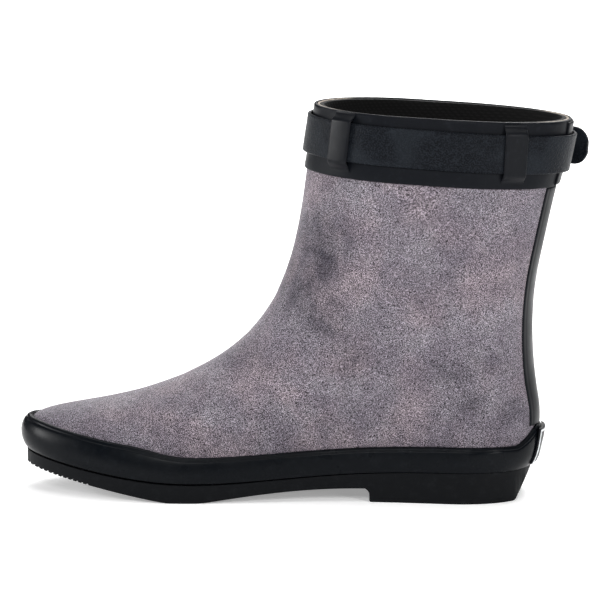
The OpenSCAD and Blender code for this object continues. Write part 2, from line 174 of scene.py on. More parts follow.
def level_at(a, h, high=5.0):
    """Level at which the face stands h above its own lower edge, by halving."""
    a, h = np.broadcast_arrays(np.asarray(a, float), np.asarray(h, float))
    low, high = np.zeros(a.shape), np.full(a.shape, high)
    base = skin(np.zeros(a.shape), a)[..., 2]
    for _ in range(14):
        mid = (low + high) / 2
        under = skin(mid, a)[..., 2] - base < h
        low, high = np.where(under, mid, low), np.where(under, high, mid)
    return (low + high) / 2


def foxing_rise(a):
    """Height of the foxing at angle a: taller over the toe and at the very back."""
    x = skin(np.zeros(np.shape(a)), a)[..., 0]
    toe = FOXING_TOE_EXTRA * smooth((-52 - x) / 34)
    return FOXING_HEIGHT + toe + FOXING_HEEL_EXTRA * np.clip((x - 107) / 8, 0, 1) ** 1.5


def ramp(t):
    """Slope from 0 to 1 with a soft start."""
    return (np.sqrt(t * t + 0.0025) - 0.05) / 0.951


def tread(x):
    """Height of the outsole's underside at x, without its heel block."""
    toe = np.clip((BALL_X[0] - np.asarray(x, float)) / 83, 0, None)
    waist = np.clip((np.asarray(x, float) - BALL_X[1]) / 87, 0, 1)
    return TOE_SPRING * ramp(toe) + WAIST_RISE * (1 - (1 - ramp(waist)) ** 2)


# ---------------------------------------------------------------- mesh helpers

def plain(name, verts, faces, finished=False):
    """Mesh object from points in millimetres, welded, with its faces outwards. Unless it is
    finished it is a helper, such as a cutter, and not part of the object."""
    mesh = bpy.data.meshes.new(name)
    mesh.from_pydata((np.asarray(verts).reshape(-1, 3) * MM).tolist(), [], faces)
    bm = bmesh.new()
    bm.from_mesh(mesh)
    bmesh.ops.remove_doubles(bm, verts=bm.verts, dist=WELD)
    if finished:
        bmesh.ops.dissolve_degenerate(bm, edges=bm.edges, dist=TINY_EDGE)
    bmesh.ops.recalc_face_normals(bm, faces=bm.faces)
    for f in bm.faces:
        f.smooth = finished
    bm.to_mesh(mesh)
    bm.free()
    obj = bpy.data.objects.new(name, mesh)
    bpy.context.scene.collection.objects.link(obj)
    return obj


def add_object(name, verts, faces, material, slot, body="boot", sharp=None):
    """Smooth visible piece that rides on a body, with its finish."""
    obj = plain(name, verts, faces, finished=True)
    if sharp:
        obj.data.set_sharp_from_angle(angle=math.radians(sharp))
    obj.data.materials.append(material)
    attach(obj, body)
    return obj


def grid_faces(rows, cols, start=0, wrap=False, flip=False):
    """Quads of a grid of points numbered row by row."""
    faces = []
    for i in range(rows - 1):
        for j in range(cols if wrap else cols - 1):
            k = (j + 1) % cols
            q = [start + i * cols + j, start + i * cols + k,
                 start + (i + 1) * cols + k, start + (i + 1) * cols + j]
            faces.append(q[::-1] if flip else q)
    return faces


def shell(inner, outer, wrap):
    """Points and faces of the closed body between two grids of the same size."""
    rows, cols = outer.shape[:2]
    n = rows * cols
    faces = grid_faces(rows, cols, 0, wrap) + grid_faces(rows, cols, n, wrap, True)
    for i in (0, rows - 1):
        for j in range(cols if wrap else cols - 1):
            k = (j + 1) % cols
            faces.append([i * cols + j, i * cols + k, n + i * cols + k, n + i * cols + j])
    if not wrap:
        for j in (0, cols - 1):
            for i in range(rows - 1):
                faces.append([i * cols + j, (i + 1) * cols + j,
                              n + (i + 1) * cols + j, n + i * cols + j])
    return np.concatenate([outer.reshape(-1, 3), inner.reshape(-1, 3)]), faces


def loft(sections, closed=False):
    """Points and faces of a tube through closed sections, an array (sections, points, 3)."""
    n, m = sections.shape[:2]
    faces = []
    for i in range(n if closed else n - 1):
        k = (i + 1) % n
        for j in range(m):
            l = (j + 1) % m
            faces.append([i * m + j, i * m + l, k * m + l, k * m + j])
    if not closed:
        faces += [list(range(m)), list(range((n - 1) * m, n * m))]
    return sections.reshape(-1, 3), faces


def eased(length, radius, middle, ring=5):
    """Positions along a length with more points in its rounded ends, and each one's drop
    below the flat as a share of the radius."""
    arc = radius * (1 - np.cos(np.linspace(0, math.pi / 2, ring + 1)))
    inside = np.linspace(radius, length - radius, middle + 2)[1:-1]
    w = np.concatenate([arc, inside, (length - arc)[::-1]])
    edge = np.minimum(w, length - w)
    drop = 1 - np.sqrt(1 - np.clip(1 - edge / radius, 0, 1) ** 2)
    return w, drop


def rounded_section(half_x, half_y, r, crown=0.0, side=7, corner=4):
    """Closed outline of a strap's section, as (x, y) pairs, with its upper face crowned."""
    pts = []
    for cx, cy, start in ((1, 1, 0), (-1, 1, 90), (-1, -1, 180), (1, -1, 270)):
        for t in np.radians(np.linspace(start, start + 90, corner + 1)):
            pts.append([cx * (half_x - r) + r * math.cos(t), cy * (half_y - r) + r * math.sin(t)])
        if start in (0, 180):
            for s in np.linspace(1, -1, side + 2)[1:-1]:
                pts.append([cx * s * (half_x - r), cy * half_y])
    pts = np.array(pts)
    pts[:, 1] += crown * (1 - (pts[:, 0] / half_x) ** 2) * (pts[:, 1] > 0)
    return pts


def cut(obj, cutter, operation="DIFFERENCE"):
    """Takes one mesh out of another, or keeps what they share, and drops the cutter."""
    m = obj.modifiers.new("cut", "BOOLEAN")
    m.operation, m.solver, m.object = operation, "MANIFOLD", cutter
    apply_modifiers(obj)
    bpy.data.objects.remove(cutter)


def apply_modifiers(obj):
    """Replaces an object's mesh with what its modifiers make of it."""
    graph = bpy.context.evaluated_depsgraph_get()
    graph.update()
    mesh = bpy.data.meshes.new_from_object(obj.evaluated_get(graph))
    old = obj.data
    obj.modifiers.clear()
    obj.data = mesh
    bpy.data.meshes.remove(old)


def between(name, first, second):
    """Helper solid between two outlines with the same number of points."""
    n = len(first)
    sides = [[i, (i + 1) % n, n + (i + 1) % n, n + i] for i in range(n)]
    caps = [list(range(n)), list(range(n, 2 * n))]
    return plain(name, np.concatenate([first, second]), sides + caps)


# ---------------------------------------------------------------- materials

def add_node(tree, kind, links=None, **settings):
    """A node with its inputs linked to sockets or set to values."""
    n = tree.nodes.new(kind)
    for key, value in settings.items():
        setattr(n, key, value)
    for key, value in (links or {}).items():
        socket = n.inputs[key]
        if isinstance(value, bpy.types.NodeSocket):
            tree.links.new(value, socket)
        else:
            socket.default_value = value
    return n


class Shade:
    """A Principled material whose patterns are read in the object's own frame."""

    def __init__(self, name, **constants):
        self.material = bpy.data.materials.new(name)
        self.material.use_nodes = True
        self.tree = self.material.node_tree
        self.shader = self.tree.nodes["Principled BSDF"]
        self.place = add_node(self.tree, "ShaderNodeTexCoord").outputs["Object"]
        for key, value in constants.items():
            self.shader.inputs[key.replace("_", " ")].default_value = value

    def noise(self, size_mm, detail=2.0, rough=0.5, stretch=(1, 1, 1)):
        place = self.place
        if stretch != (1, 1, 1):
            links = {"Vector": place, "Scale": stretch}
            place = add_node(self.tree, "ShaderNodeMapping", links).outputs[0]
        links = {"Vector": place, "Scale": 1000 / size_mm, "Detail": detail, "Roughness": rough}
        return add_node(self.tree, "ShaderNodeTexNoise", links).outputs["Fac"]

    def cells(self, size_mm, feature="F1"):
        links = {"Vector": self.place, "Scale": 1000 / size_mm}
        return add_node(self.tree, "ShaderNodeTexVoronoi", links, feature=feature).outputs["Distance"]

    def span(self, value, low, high, to_low=0.0, to_high=1.0):
        """A value eased from one range to another."""
        links = {"Value": value, "From Min": low, "From Max": high, "To Min": to_low, "To Max": to_high}
        return add_node(self.tree, "ShaderNodeMapRange", links,
                        interpolation_type="SMOOTHSTEP").outputs[0]

    def math(self, kind, a, b):
        return add_node(self.tree, "ShaderNodeMath", {0: a, 1: b}, operation=kind).outputs[0]

    def mix(self, factor, a, b, blend="MIX"):
        n = add_node(self.tree, "ShaderNodeMix", data_type="RGBA", blend_type=blend)
        for socket, value in ((n.inputs[0], factor), (n.inputs[6], a), (n.inputs[7], b)):
            if isinstance(value, bpy.types.NodeSocket):
                self.tree.links.new(value, socket)
            else:
                socket.default_value = value
        return n.outputs[2]

    def bump(self, *layers):
        """Stacked bumps, each a height and its depth in millimetres."""
        below = None
        for height, depth in layers:
            links = {"Height": height, "Strength": 1.0, "Distance": depth * MM}
            if below:
                links["Normal"] = below
            below = add_node(self.tree, "ShaderNodeBump", links).outputs[0]
        self.tree.links.new(below, self.shader.inputs["Normal"])

    def set(self, name, socket):
        self.tree.links.new(socket, self.shader.inputs[name])


def grey(r, g=None, b=None):
    """A grey, or a colour from its three parts."""
    return (r, r if g is None else g, r if b is None else b, 1)


def napped_fabric():
    """Grey-mauve microsuede: fine speckled pile over bluish and pinkish clouds, with soft darker
    patches where the nap lies the other way, and painted shade above the foxing, both from the upper's
    attribute."""
    s = Shade("nap_fabric", Sheen_Weight=0.2, Sheen_Roughness=0.45, Specular_IOR_Level=0.12)
    speck = s.noise(0.35, 1, 0.5)
    fine = s.noise(0.3, 1, 0.5)
    cloud = s.noise(12, 2, 0.5)
    patch = s.noise(30, 3, 0.6)
    tint = s.noise(34, 3, 0.55)
    nap_and_shade = add_node(s.tree, "ShaderNodeAttribute", attribute_name="nap_and_shade").outputs["Fac"]
    base = s.mix(s.span(tint, 0.4, 0.6), grey(0.166, 0.152, 0.172), grey(0.182, 0.153, 0.171))
    base = s.mix(s.span(patch, 0.38, 0.6), s.mix(0.5, base, grey(0.1, 0.087, 0.108)), base)
    base = s.mix(s.span(cloud, 0.35, 0.62), s.mix(0.42, base, grey(0.1, 0.085, 0.105)), base)
    # darker nap patches and painted shade above the foxing, broken up by the clouds
    ragged = s.math("MULTIPLY", nap_and_shade, s.span(cloud, 0.3, 0.62, 1.3, 0.7))
    base = s.mix(ragged, base, grey(0.03, 0.027, 0.036))
    tips = s.math("ADD", s.span(speck, 0.36, 0.5, 0.0, 0.8), s.span(speck, 0.5, 0.66, 0.0, 2.1))
    pile = s.mix(1.0, base, tips, "MULTIPLY")
    s.set("Base Color", pile)
    s.set("Roughness", s.span(patch, 0.3, 0.7, 0.8, 0.95))
    s.bump((patch, 0.2), (speck, 0.07), (fine, 0.04))
    return s.material


def rubber(name, colour, rough, specular=0.3, texture=0.02, wear=0.35):
    """Black moulded rubber with a faint bloom, fine texture and softly polished areas."""
    s = Shade(name, Specular_IOR_Level=specular)
    cloud = s.noise(18, 3, 0.6)
    fine = s.noise(0.7, 3, 0.6)
    dust = s.noise(4, 4, 0.7)
    bloom = tuple(min(1, c * 2.2 + 0.004) for c in colour[:3]) + (1,)
    s.set("Base Color", s.mix(s.math("MULTIPLY", s.span(dust, 0.5, 0.75), wear), colour, bloom))
    s.set("Roughness", s.span(cloud, 0.3, 0.7, rough - 0.07, rough + 0.08))
    s.bump((cloud, 0.12), (fine, texture))
    return s.material


def strap_leather():
    """Black fine-grained leather: small pebbles with creases between them, their lighter tops partly
    the grain's tone and partly painted glint.
    """
    s = Shade("strap_leather", Specular_IOR_Level=0.055)
    pebble = s.cells(0.72)
    crease = s.cells(1.5, "SMOOTH_F1")
    fine = s.noise(0.35, 3, 0.6)
    cloud = s.noise(14, 3, 0.6)
    dark, soft = grey(0.0022, 0.0029, 0.0044), grey(0.0036, 0.0045, 0.0064)
    worn, grain_and_glint = grey(0.0085, 0.0105, 0.0135), grey(0.0155, 0.0185, 0.0235)
    tone = s.mix(s.span(cloud, 0.35, 0.65), dark, soft)
    tone = s.mix(s.span(s.noise(32, 2, 0.5), 0.48, 0.6), tone, worn)
    # pebble tops lighter: partly grain tone, partly painted glint
    s.set("Base Color", s.mix(s.span(pebble, 0.35, 0.75, 0, 0.6), tone, grain_and_glint))
    s.set("Roughness", s.span(pebble, 0.1, 0.6, 0.26, 0.4))
    s.bump((cloud, 0.14), (crease, 0.1), (pebble, 0.2), (fine, 0.03))
    return s.material


def knit(name, dark, light, pitch=1.1, rough=0.85):
    """Fabric of fine interlaced rows, used inside the boot and on the footbed."""
    s = Shade(name, Sheen_Weight=0.06, Sheen_Roughness=0.5, Specular_IOR_Level=0.1)
    wave = {"Vector": s.place, "Scale": 1000 / pitch / 6.283, "Distortion": 1.2, "Detail": 1.0}
    rows = add_node(s.tree, "ShaderNodeTexWave", wave, bands_direction="Z").outputs["Fac"]
    lines = add_node(s.tree, "ShaderNodeTexWave", wave, bands_direction="DIAGONAL").outputs["Fac"]
    loops = s.math("MULTIPLY", rows, lines)
    fuzz = s.noise(0.8, 3, 0.6)
    s.set("Base Color", s.mix(loops, dark, s.mix(fuzz, dark, light)))
    s.set("Roughness", s.span(fuzz, 0.3, 0.7, rough - 0.1, rough + 0.08))
    s.bump((loops, 0.1), (fuzz, 0.05))
    return s.material


def woven_tape():
    """Woven tape, pale at the front and the back of the rim and blackened along its sides."""
    s = Shade("tape_fabric", Sheen_Weight=0.03, Specular_IOR_Level=0.1)
    warp = s.noise(0.5, 2, 0.5, (1, 1, 0.2))
    weft = s.noise(0.5, 2, 0.5, (0.2, 0.2, 1))
    threads = s.math("MULTIPLY", warp, weft)
    x = add_node(s.tree, "ShaderNodeSeparateXYZ", {0: s.place}).outputs["X"]
    end = s.span(s.math("ABSOLUTE", s.math("SUBTRACT", x, 0.072), 0.0), 0.046, 0.056)
    pale = s.mix(s.span(threads, 0.15, 0.4), grey(0.3, 0.26, 0.22), grey(0.56, 0.5, 0.43))
    s.set("Base Color", s.mix(end, grey(0.005), pale))
    s.set("Roughness", s.span(threads, 0.1, 0.5, 0.75, 0.95))
    s.bump((threads, 0.08))
    return s.material


def metal(name, colour, rough):
    """Plated metal with fine scratches and slightly duller patches."""
    s = Shade(name, Metallic=1.0)
    scratch = s.noise(0.9, 4, 0.7, (1, 6, 1))
    cloud = s.noise(5, 3, 0.6)
    dull = tuple(c * 0.85 for c in colour[:3]) + (1,)
    s.set("Base Color", s.mix(s.span(cloud, 0.3, 0.7), colour, dull))
    duller = s.span(cloud, 0.3, 0.7, rough, rough + 0.08)
    s.set("Roughness", s.math("ADD", s.span(scratch, 0.45, 0.7, 0.0, 0.14), duller))
    s.bump((scratch, 0.01))
    return s.material


def granules(name, dark, light, size, rough):
    """Pressed board, foam or moulded sheet: grains of two tones."""
    s = Shade(name, Specular_IOR_Level=0.25)
    grains = s.cells(size)
    cloud = s.noise(size * 5, 3, 0.6)
    s.set("Base Color", s.mix(s.span(grains, 0.1, 0.6), dark, s.mix(cloud, dark, light)))
    s.set("Roughness", s.span(cloud, 0.3, 0.7, rough - 0.08, rough + 0.08))
    s.bump((grains, 0.08), (cloud, 0.1))
    return s.material


def label_print():
    """Pale raised print, slightly mottled."""
    s = Shade("label_print", Specular_IOR_Level=0.3)
    fine = s.noise(0.6, 3, 0.6)
    dark, light = grey(0.62, 0.64, 0.65), grey(0.82, 0.84, 0.85)
    s.set("Base Color", s.mix(s.span(fine, 0.3, 0.6), dark, light))
    s.set("Roughness", s.span(fine, 0.3, 0.7, 0.4, 0.55))
    s.bump((fine, 0.03))
    return s.material


NAP = napped_fabric()
FOXING_RUBBER = rubber("foxing_rubber", grey(0.0024, 0.0032, 0.0045), 0.3, 0.085, 0.012)
SOLE_RUBBER = rubber("outsole_rubber", grey(0.0042, 0.0047, 0.0056), 0.5, 0.06, 0.035)
COLLAR_RUBBER = rubber("collar_rubber", grey(0.0042, 0.0051, 0.0071), 0.44, 0.075, 0.03)
TRIM_RUBBER = rubber("trim_rubber", grey(0.0055, 0.0062, 0.008), 0.36, 0.085, 0.02)
LEATHER = strap_leather()
LINING = knit("lining_fabric", grey(0.004), grey(0.0115), 0.8)
FOOTBED_CLOTH = knit("footbed_fabric", grey(0.012), grey(0.04), 0.9)
TAPE = woven_tape()
NICKEL = metal("buckle_metal", grey(0.62, 0.62, 0.63), 0.16)
STEEL = metal("spring_steel", grey(0.42, 0.43, 0.45), 0.3)
BOARD = granules("board", grey(0.2, 0.14, 0.08), grey(0.36, 0.27, 0.17), 1.2, 0.8)
FOAM = granules("filler_foam", grey(0.26, 0.19, 0.11), grey(0.5, 0.4, 0.26), 2.4, 0.85)
STIFFENER = granules("stiffener", grey(0.52, 0.49, 0.42), grey(0.68, 0.65, 0.58), 1.6, 0.6)
PRINT = label_print()
THREAD = granules("thread", grey(0.02, 0.022, 0.026), grey(0.07, 0.072, 0.08), 0.4, 0.6)

# ---------------------------------------------------------------- upper, lining and foxing

def ring(count):
    """Angles of the columns round the boot, closer together at the toe and the heel."""
    t = np.arange(count) / count * 2 * math.pi
    return np.degrees(t - 0.16 * np.sin(2 * t))


def bump_at(x, z, cx, cz, rx, rz):
    """Round bump of height 1 about (cx, cz) in the side view."""
    return np.exp(-((x - cx) / rx) ** 2 - ((z - cz) / rz) ** 2)


def dents(v, a):
    """Depth of the soft hollows and walking creases in the upper, in millimetres."""
    p = skin(v, a)
    x, y, z = p[..., 0], p[..., 1], p[..., 2]
    side = np.where(y < SIDE_SHIFT, 1.0, 0.8)
    soft = (0.55 + 0.25 * np.sin(x / 13 + z / 31 + 1.1)
            + 0.2 * np.sin(z / 17 - x / 29 + 0.4 + y / 23))
    across = np.sin((z * 0.86 + x * 0.5) / 3.9 + 0.5 * np.sin(y / 11))
    ankle = 0.45 * bump_at(x, z, -2, 92, 26, 24) * np.clip(across, 0, 1) ** 2
    flex = 0.35 * bump_at(x, z, -62, 48, 24, 16) * np.clip(np.sin((x + y / 9) / 3.6), 0, 1) ** 2
    hollow = 0.8 * bump_at(x, z, 62, 62, 30, 22) + 0.6 * bump_at(x, z, 48, 118, 34, 20)
    fade = smooth((v - 1.6) / 1.2) * smooth((COLLAR + 0.1 - v) / 0.9)
    strip = 1 - smooth((19 - np.abs(y - SIDE_SHIFT)) / 4) * (x > 90)
    return fade * strip * side * (0.45 * soft + ankle + flex + 0.5 * hollow)


# Brushed patches: middle x and z, half sizes in x and z, strength
BRUSHED = [(14, 134, 14, 16, 0.85), (4, 109, 15, 13, 0.8), (16, 90, 17, 9, 0.45),
           (30, 74, 9, 7, 0.5), (22, 165, 12, 8, 0.3), (77, 68, 10, 7, 0.5),
           (99, 74, 8, 6, 0.35), (89, 52, 9, 6, 0.55), (110, 47, 8, 9, 0.4),
           (-27, 72, 16, 8, 0.25), (60, 112, 22, 16, 0.12)]


def nap_and_shade_at(p):
    """Where the nap is darker, 0 to 1: soft patches on each side where it lies the dark way, and
    painted shade that deepens towards the foxing. On the outer side the patches lie further back and
    closer together."""
    x, y, z = p[..., 0], p[..., 1], p[..., 2]
    inner = y < SIDE_SHIFT
    total = np.zeros(x.shape)
    for cx, cz, rx, rz, share in BRUSHED:
        flip = np.where(inner, cx, 0.8 * cx + 14)
        total += share * bump_at(x, z, flip, cz, rx, rz)
    # painted shade: the suede darkens towards the foxing
    above_sole = np.clip(z - seam(x) - FOXING_HEIGHT, 0, None)
    return np.clip(total + 0.4 * np.exp(-above_sole / 11), 0, 1)


def middle(x):
    """Plan points of the foot's middle line, level with x, that the sole's outline shrinks to."""
    return np.stack([np.clip(x, -100, 88), swing(x) + SIDE_SHIFT], -1)


def margin(a, d, z):
    """Points of the upper's turned-in edge: d in from the sole's edge, z above the seam."""
    p = skin(np.zeros(a.shape), a)
    xy = p[:, :2] - d * unit(p[:, :2] - middle(p[:, 0]))
    return np.concatenate([xy, (seam(xy[:, 0]) + z)[:, None]], -1)


def make_upper():
    """Napped upper with its turned-in edge, and as an attribute where the nap is darker, painted shade
    above the foxing included.
    """
    a = ring(300)
    top = RIM - 0.07
    v = np.concatenate([np.linspace(0, 3, 34), np.linspace(3, top, 118)[1:]])[:, None]
    outer = off(v, a[None], -dents(v, a[None]))
    inner = off(np.maximum(v, 0.4), a[None], -UPPER_THICK)
    under = [margin(a, d, 0.1) for d in (15, 8, 2)]
    over = [margin(a, d, 1.8) for d in (15, 9, 4)]
    outer = np.concatenate([np.array(under), outer])
    inner = np.concatenate([np.array(over), inner])
    obj = add_object("upper_shell", *shell(inner, outer, True), NAP, "nap_fabric", sharp=50)
    mesh = obj.data
    co = np.zeros(len(mesh.vertices) * 3)
    mesh.vertices.foreach_get("co", co)
    # darker nap and painted shade above the foxing, kept as an attribute for the suede's material
    values = nap_and_shade_at(co.reshape(-1, 3) / MM).astype(np.float32)
    mesh.attributes.new("nap_and_shade", "FLOAT", "POINT").data.foreach_set("value", values)
    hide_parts("upper")


def make_lining():
    """Lining, rolled over the rim beside the tape, with a flat seam down the back."""
    a = ring(240)
    v = np.linspace(0.4, RIM - 0.05, 90)[:, None]
    outer = off(v, a[None], -UPPER_THICK - 0.1)
    back = np.exp(-((a - 180) / 2.2) ** 2) * 0.5
    soft = 0.18 * (1 + np.sin(v * 3.1 + a[None] / 17)) * smooth((RIM - v) / 0.6)
    seam_bulge = back * smooth((RIM - v) / 0.2)
    inner = off(v, a[None], -UPPER_THICK - 0.1 - LINING_THICK + soft - seam_bulge)
    roll_in, roll_out = [], []
    for share in (0.35, 0.7, 1.0):
        lift = 0.3 * math.sin(share * math.pi / 2) - 0.55
        p, q = off(RIM, a, -3.65 + 0.85 * share ** 2), off(RIM, a, -1.4 - 0.85 * share ** 2)
        p[:, 2] += lift
        q[:, 2] += lift
        roll_in.append(p)
        roll_out.append(q)
    neck = off(RIM - 0.08, a, -UPPER_THICK - 0.1)
    ledge = off(RIM, a, -1.4) - [0, 0, 0.62]
    outer = np.concatenate([outer[:-1], neck[None], ledge[None], np.array(roll_out)])
    last = inner[-1:]
    inner = np.concatenate([inner[:-1], last - [0, 0, 0.7], last - [0, 0, 0.6], np.array(roll_in)])
    obj = add_object("lining_sock", *shell(inner, outer, True), LINING, "lining_fabric", sharp=60)
    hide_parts("lining")


def make_tape():
    """Rim tape between the upper and the collar: a soft ridge that shows along the rim."""
    a = ring(240)
    profile = [(12.94, -1.35, 0), (RIM, -1.3, -0.35), (RIM, -1.1, -0.12), (RIM, -0.75, 0),
               (RIM, -0.4, -0.12), (RIM, -0.2, -0.4), (12.94, -0.2, 0)]
    sections = []
    for v, d, z in profile:
        p = off(v, a, d)
        p[:, 2] += z
        sections.append(p)
    grid = np.array(sections).transpose(1, 0, 2)
    obj = add_object("rim_tape", *loft(grid, closed=True), TAPE, "tape_fabric", sharp=60)
    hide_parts("topline_tape")


FOXING_PROFILE = [  # share of the height, share of the bulge
    (0, 0.9), (0.004, 0.94), (0.012, 0.97), (0.03, 0.985), (0.06, 0.995), (0.12, 1.0), (0.22, 1.0),
    (0.34, 0.985), (0.46, 0.96), (0.58, 0.925), (0.68, 0.885), (0.76, 0.845), (0.82, 0.805),
    (0.85, 0.77), (0.862, 0.7), (0.875, 0.655), (0.89, 0.66), (0.905, 0.69), (0.92, 0.69),
    (0.94, 0.65), (0.96, 0.58), (0.98, 0.46), (0.993, 0.3), (1.0, 0.12)]


def make_foxing():
    """Rubber band round the foot, with a groove under the thin lip along its top."""
    a = ring(460)
    rise = foxing_rise(a)
    t = np.array([p[0] for p in FOXING_PROFILE])
    bulge = np.array([p[1] for p in FOXING_PROFILE])
    v = np.array([level_at(a, share * rise) for share in t])
    waver = 1 + 0.035 * np.sin(a / 2.9 + 1)[None] * smooth((t - 0.86) / 0.1)[:, None]
    outer = off(v, a[None], FOXING_THICK * bulge[:, None] * waver)
    inner = off(v, a[None], 0.1)
    outer[..., 2] += 0.1
    inner[..., 2] += 0.1
    obj = add_object("foxing", *shell(inner, outer, True), FOXING_RUBBER, "foxing_rubber", sharp=55)
    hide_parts("foxing_band")


def make_collar():
    """Rubber band round the top of the shaft, with rounded edges and a faint ripple."""
    a = ring(360)
    radius = 0.55
    w, drop = eased(2.0, 0.03, 26, 6)
    v = (COLLAR + w)[:, None]
    ripple = 0.08 * np.sin(a / 7.3)[None] * np.sin(v * 4.0)
    drop = drop[:, None]
    outer = off(v, a[None], COLLAR_THICK - radius * drop - 0.08 + ripple * (drop == 0))
    inner = off(v, a[None], 0.1)
    obj = add_object("collar", *shell(inner, outer, True), COLLAR_RUBBER, "collar_rubber", sharp=50)
    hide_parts("collar_band")


EDGE_R = 0.55  # rounding of the back strips
LABEL_HALF, LABEL_FACE, LABEL_CROWN = 9.5, 4.55, 0.22
PRINT_SINK, PRINT_RISE = 0.1, 0.12
BORDER_OUT, BORDER_IN = 8.6, 7.7


def back_patch(name, v, half, low, high, node, grooves=(), crown=LABEL_CROWN, sideways=25):
    """Strip up the back's middle line with rounded edges, a crown and stitch grooves."""
    y, drop = eased(2 * half, EDGE_R, sideways, 5)
    y = y - half
    arch = crown * (1 - (y / half) ** 2)
    for at in grooves:
        drop = drop + 0.4 * np.exp(-((np.abs(y) - at) / 0.35) ** 2)
    a = back_angle(v[:, None], y[None])
    ends = np.minimum(np.arange(len(v)), np.arange(len(v))[::-1])
    end_drop = np.where(ends == 0, 0.5, np.where(ends == 1, 0.15, 0.0))
    d = high - crown - EDGE_R * drop[None] - end_drop[:, None] + arch[None]
    inner, outer = off(v[:, None], a, low), off(v[:, None], a, d)
    obj = add_object(name, *shell(inner, outer, False), TRIM_RUBBER, "trim_rubber", sharp=50)
    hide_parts(node)


def with_close_ends(low, high, count, step=0.02):
    """Even levels, with one close to each end for the rounded edge."""
    return np.concatenate([[low, low + step], np.linspace(low + 2 * step, high - 2 * step, count),
                           [high - step, high]])


def make_back():
    """The strip up the back, the collar's own strip and the heel patch with its print."""
    start = float(level_at(np.array(180.0), foxing_rise(np.array(180.0))))
    back_patch("backstay", with_close_ends(start + 0.03, COLLAR - 0.02, 90), 14, 0.1, 1.4,
               "back_strip", (12.2,), 0.45, 35)
    back_patch("collar_backstay", with_close_ends(COLLAR + 0.05, 12.95, 30), 9, 1.7, 2.7,
               "collar_back_strip")
    low, high = 0.35, start - 0.15
    back_patch("heel_patch", with_close_ends(low, high, 24), LABEL_HALF, 3.5, LABEL_FACE,
               "heel_label")
    height = high - low
    for name, v0, v1, y0, y1 in (("border_top", 0.9, 0.955, -BORDER_OUT, BORDER_OUT),
                                 ("border_bottom", 0.045, 0.1, -BORDER_OUT, BORDER_OUT),
                                 ("border_left", 0.1, 0.9, -BORDER_OUT, -BORDER_IN),
                                 ("border_right", 0.1, 0.9, BORDER_IN, BORDER_OUT)):
        print_patch("label_" + name, low + v0 * height, low + v1 * height, y0, y1)
    label_disc("label_disc", low + 0.5 * height, 0.3 * height, 4.6)


def raised_print(name, v, y, wrap):
    """Print that stands a little proud of the heel patch's crowned face."""
    a = back_angle(v, y)
    face = LABEL_FACE - LABEL_CROWN + LABEL_CROWN * (1 - (y / LABEL_HALF) ** 2)
    inner, outer = off(v, a, face - PRINT_SINK), off(v, a, face + PRINT_RISE)
    add_object(name, *shell(inner, outer, wrap), PRINT, None)


def print_patch(name, v0, v1, y0, y1):
    raised_print(name, np.linspace(v0, v1, 14)[:, None], np.linspace(y0, y1, 20)[None], False)


def label_disc(name, v_mid, v_half, y_half):
    """Plain ring with a bar across it, in relief on the heel patch."""
    t = np.linspace(0, 2 * math.pi, 49)[:-1]
    r = np.array([0.62, 0.72, 0.9, 1.0])[:, None]
    v, y = v_mid + v_half * r * np.sin(t)[None], y_half * r * np.cos(t)[None] + 1e-4
    raised_print(name, v, y, True)
    bar_v, bar_y = 0.12 * v_half, 0.62 * y_half
    print_patch("label_bar", v_mid - bar_v, v_mid + bar_v, -bar_y, bar_y)


# ---------------------------------------------------------------- sole and footbed

def outline(d, count=64):
    """Plan outline of the sole's edge, moved outwards by d."""
    a = ring(count)
    p, t = skin(0, a)[:, :2], (skin(0, a + 1) - skin(0, a - 1))[:, :2]
    u = unit(t)
    return p + d * np.stack([u[:, 1], -u[:, 0]], -1)


def prism(name, plan, low, high):
    """Helper solid that stands between two heights on a plan outline; each height is one
    value or one for each point."""
    n = len(plan)
    bottom = np.concatenate([plan, np.broadcast_to(low, n)[:, None]], 1)
    top = np.concatenate([plan, np.broadcast_to(high, n)[:, None]], 1)
    return between(name, bottom, top)


def stadium(x0, x1, r, count=16):
    """Plan outline with round ends, along the heel's middle line."""
    t = np.radians(np.linspace(-90, 90, count))
    right = np.stack([x1 - r + r * np.cos(t), SIDE_SHIFT + r * np.sin(t)], -1)
    left = np.stack([x0 + r - r * np.cos(t), SIDE_SHIFT - r * np.sin(t)], -1)
    return np.concatenate([right, left])


def side_profile(name, points, half=70):
    """Helper solid: an outline in x and z, drawn right across the boot."""
    p = np.asarray(points, float)
    return between(name, np.insert(p, 1, -half, axis=1), np.insert(p, 1, half, axis=1))


def groove_cutters():
    """Grooves of the tread: fine ones under the toe, chevrons under the ball, bars at the heel."""
    cutters = []
    for i, x in enumerate(np.arange(-141, -107, 2.8)):
        top = float(tread(x + 0.5)) + 0.55
        plan = np.array([[x, -60], [x + 1, -60], [x + 1, 60], [x, 60]])
        cutters.append(prism(f"fine_{i}", plan, -2, top))
    for i, x in enumerate(np.arange(-102, -8, 11.0)):
        plan = np.array([[x, -30], [x + 3, -30], [x + 9, -5],
                         [x + 3, 30], [x, 30], [x + 6, -5]], float)
        plan[:, 1] += np.where(plan[:, 1] < -10, SIDE_SHIFT, 0)
        cutters.append(prism(f"chevron_{i}", plan, -2, tread(plan[:, 0]) + TREAD_DEPTH))
    for i, x in enumerate(np.arange(49, 105, 11.0)):
        y = SIDE_SHIFT
        plan = np.array([[x, y - 22], [x + 3, y - 22], [x + 3, y + 22], [x, y + 22]])
        cutters.append(prism(f"bar_{i}", plan, -2, TREAD_DEPTH))
    return cutters


